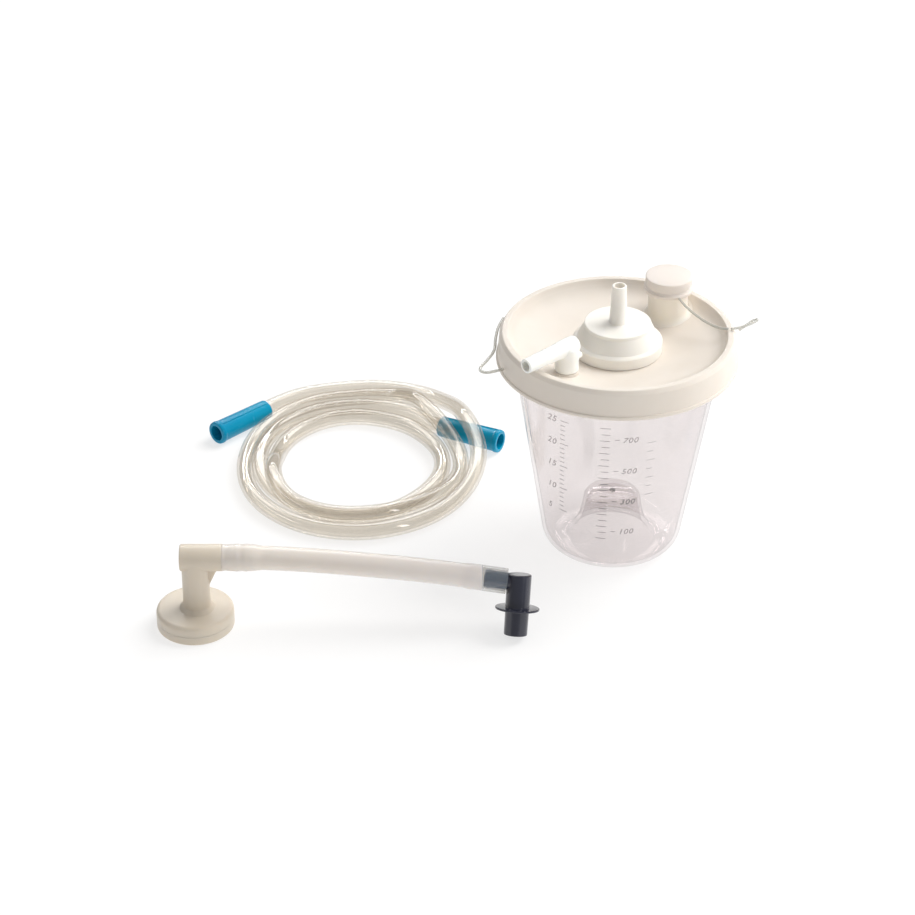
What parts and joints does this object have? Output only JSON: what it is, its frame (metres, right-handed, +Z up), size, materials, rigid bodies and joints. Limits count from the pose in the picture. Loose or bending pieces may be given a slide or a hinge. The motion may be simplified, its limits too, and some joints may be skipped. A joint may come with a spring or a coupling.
{
  "type": "suction canister kit",
  "caption": "Suction canister with lid and float valve, coiled patient tube, and bacteria filter with connecting hose for a suction pump.",
  "frame": {"origin": "on the floor, under the middle of the canister and the filter housing together", "axes": "+Z up; +X from the filter towards the canister, along the connecting hose; +Y from the hose towards the coiled tube"},
  "size_m": [0.3409, 0.278, 0.169],
  "materials": {
    "clear_plastic": "clear, polished",
    "white_plastic": "satin",
    "port_plastic": "satin",
    "seal_rubber": "matt",
    "cage_plastic": "matt",
    "float_plastic": "matt",
    "translucent_strap": "translucent",
    "filter_plastic": "satin",
    "membrane": "matt",
    "silicone_hose": "milky, satin",
    "navy_plastic": "gloss",
    "clear_tube": "clear, gloss",
    "teal_plastic": "satin"
  },
  "bodies": {
    "canister": {"canister_cup": "clear_plastic"},
    "lid_assembly": {"lid": "white_plastic", "lid_gasket": "seal_rubber", "vacuum_port": "port_plastic", "float_cage": "cage_plastic", "skirt_pull_loop": "translucent_strap", "tether_loop": "translucent_strap", "cap_tether": "translucent_strap"},
    "spout_cap": {"spout_cap": "white_plastic"},
    "patient_elbow": {"patient_elbow": "port_plastic"},
    "float": {"float": "float_plastic", "float_seal": "seal_rubber"},
    "hose_set": {"filter_housing_base": "filter_plastic", "filter_housing_top": "filter_plastic", "filter_membrane": "membrane", "connecting_hose": "silicone_hose"},
    "pump_connector": {"pump_connector": "navy_plastic"},
    "patient_tube": {"patient_tube_coil": "clear_tube", "patient_tube_tail": "clear_tube", "tube_connector_left": "teal_plastic", "tube_connector_right": "teal_plastic"}
  },
  "joints": [
    {"name": "lid_lift", "type": "slide", "parent": "canister", "child": "lid_assembly", "axis": [0, 0, 1], "range_m": [0, 0.05]},
    {"name": "spout_cap_lift", "type": "slide", "parent": "lid_assembly", "child": "spout_cap", "axis": [0, 0, 1], "range_m": [0, 0.012], "deforming": ["cap_tether"]},
    {"name": "patient_elbow_swivel", "type": "hinge", "parent": "lid_assembly", "child": "patient_elbow", "pos_m": [0.0586, -0.0099, 0.147], "axis": [0, 0, 1], "range_deg": [-90, 90]},
    {"name": "float_rise", "type": "slide", "parent": "lid_assembly", "child": "float", "axis": [0, 0, 1], "range_m": [0, 0.0092]},
    {"name": "hose_set_lift", "type": "slide", "parent": "canister", "child": "hose_set", "axis": [0, 0, 1], "range_m": [0, 0.08]},
    {"name": "pump_connector_swivel", "type": "hinge", "parent": "hose_set", "child": "pump_connector", "pos_m": [0.0322, -0.0702, 0.03], "axis": [-0.9892, 0.03, 0.1432], "range_deg": [0, 60]},
    {"name": "patient_tube_lift", "type": "slide", "parent": "canister", "child": "patient_tube", "axis": [0, 0, 1], "range_m": [0, 0.08]}
  ]
}
